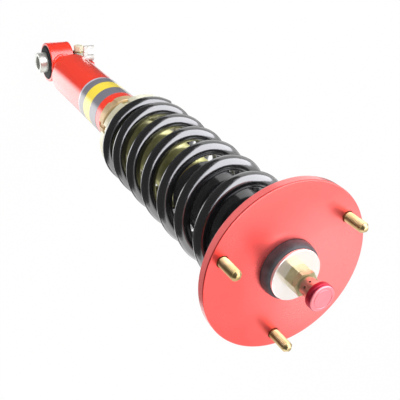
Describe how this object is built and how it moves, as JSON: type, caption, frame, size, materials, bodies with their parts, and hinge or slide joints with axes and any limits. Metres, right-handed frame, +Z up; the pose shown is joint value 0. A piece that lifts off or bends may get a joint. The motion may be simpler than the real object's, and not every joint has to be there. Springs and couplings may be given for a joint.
{
  "type": "coilover strut",
  "caption": "Height adjustable coil spring strut with a round studded top plate, threaded damper, lock rings, damping knob and a rubber bushed lower eye.",
  "frame": {"origin": "centre of the lower eye's bore", "axes": "+Z up the damper's axis to the top plate, X along the eye's bore"},
  "size_m": [0.132, 0.132, 0.5623],
  "materials": {
    "red_plate": "satin anodised",
    "red_tube": "gloss",
    "black_spring": "gloss powder coat",
    "gold_zinc": "yellow zinc plate",
    "gold_alloy": "gold anodised",
    "black_alloy": "satin anodised",
    "bare_steel": "zinc plate",
    "chrome_rod": "hard chrome",
    "bare_alloy": "machined",
    "collar_brass": "satin",
    "knob_red": "gloss anodised",
    "black_rubber": "matte",
    "bump_foam": "matte",
    "black_plastic": "gloss",
    "band_plastic": "matte"
  },
  "bodies": {
    "top_mount": {"top_plate": "red_plate", "stud_first": "gold_zinc", "stud_second": "gold_zinc", "stud_third": "gold_zinc", "upper_cushion": "black_rubber", "lower_cushion": "black_rubber"},
    "rod_group": {"piston_rod": "chrome_rod", "spacer_sleeve": "bare_steel", "upper_washer": "gold_zinc", "rod_nut": "gold_zinc", "jam_nut": "gold_zinc", "click_collar": "collar_brass", "spring_seat": "black_alloy", "bump_stop": "bump_foam", "dust_sleeve": "black_plastic", "piston": "bare_alloy", "piston_band": "band_plastic", "rebound_shims": "bare_steel", "compression_shims": "bare_steel", "piston_nut": "bare_steel"},
    "adjuster": {"adjuster_knob": "knob_red", "adjuster_rod": "bare_steel"},
    "perch": {"spring_perch": "gold_alloy", "coil_spring": "black_spring"},
    "damper": {"damper_tube": "gold_zinc", "base_plug": "bare_steel", "rod_guide": "bare_alloy", "rod_seal": "black_rubber", "gland_nut": "gold_zinc"},
    "gas_piston": {"floating_piston": "bare_alloy"},
    "perch_lock": {"perch_lock_ring": "gold_alloy"},
    "bracket_lock": {"bracket_lock_ring": "gold_alloy"},
    "lower_mount": {"lower_tube": "red_tube", "eye_neck": "red_tube", "eye_ring": "red_tube", "hose_lug": "red_tube", "eye_bush": "black_rubber", "hose_bracket": "bare_steel", "bracket_bolt": "bare_steel"},
    "bush_sleeve": {"eye_sleeve": "bare_steel"}
  },
  "joints": [
    {"name": "mount_swivel", "type": "hinge", "parent": "top_mount", "child": "rod_group", "pos_m": [0, 0, 0.4985], "axis": [0, 0, 1], "range_deg": [-15, 15]},
    {"name": "knob_turn", "type": "hinge", "parent": "rod_group", "child": "adjuster", "pos_m": [0, 0, 0.5335], "axis": [0, 0, 1], "range_deg": [0, 720]},
    {"name": "damper_stroke", "type": "slide", "parent": "rod_group", "child": "perch", "axis": [0, 0, 1], "range_m": [0, 0.06], "deforming": ["coil_spring"]},
    {"name": "perch_adjust", "type": "slide", "parent": "perch", "child": "damper", "axis": [0, 0, -1], "range_m": [0, 0.015]},
    {"name": "gas_piston_slide", "type": "slide", "parent": "damper", "child": "gas_piston", "axis": [0, 0, -1], "range_m": [0, 0.01]},
    {"name": "perch_lock_adjust", "type": "slide", "parent": "damper", "child": "perch_lock", "axis": [0, 0, -1], "range_m": [0, 0.004]},
    {"name": "bracket_lock_adjust", "type": "slide", "parent": "damper", "child": "bracket_lock", "axis": [0, 0, 1], "range_m": [0, 0.004]},
    {"name": "ride_height", "type": "slide", "parent": "damper", "child": "lower_mount", "axis": [0, 0, -1], "range_m": [0, 0.03]},
    {"name": "bush_twist", "type": "hinge", "parent": "lower_mount", "child": "bush_sleeve", "pos_m": [0, 0, 0], "axis": [1, 0, 0], "range_deg": [-12, 12]}
  ],
  "couplings": [
    {"joint": "gas_piston_slide", "follows": "damper_stroke", "ratio": 0.16}
  ]
}
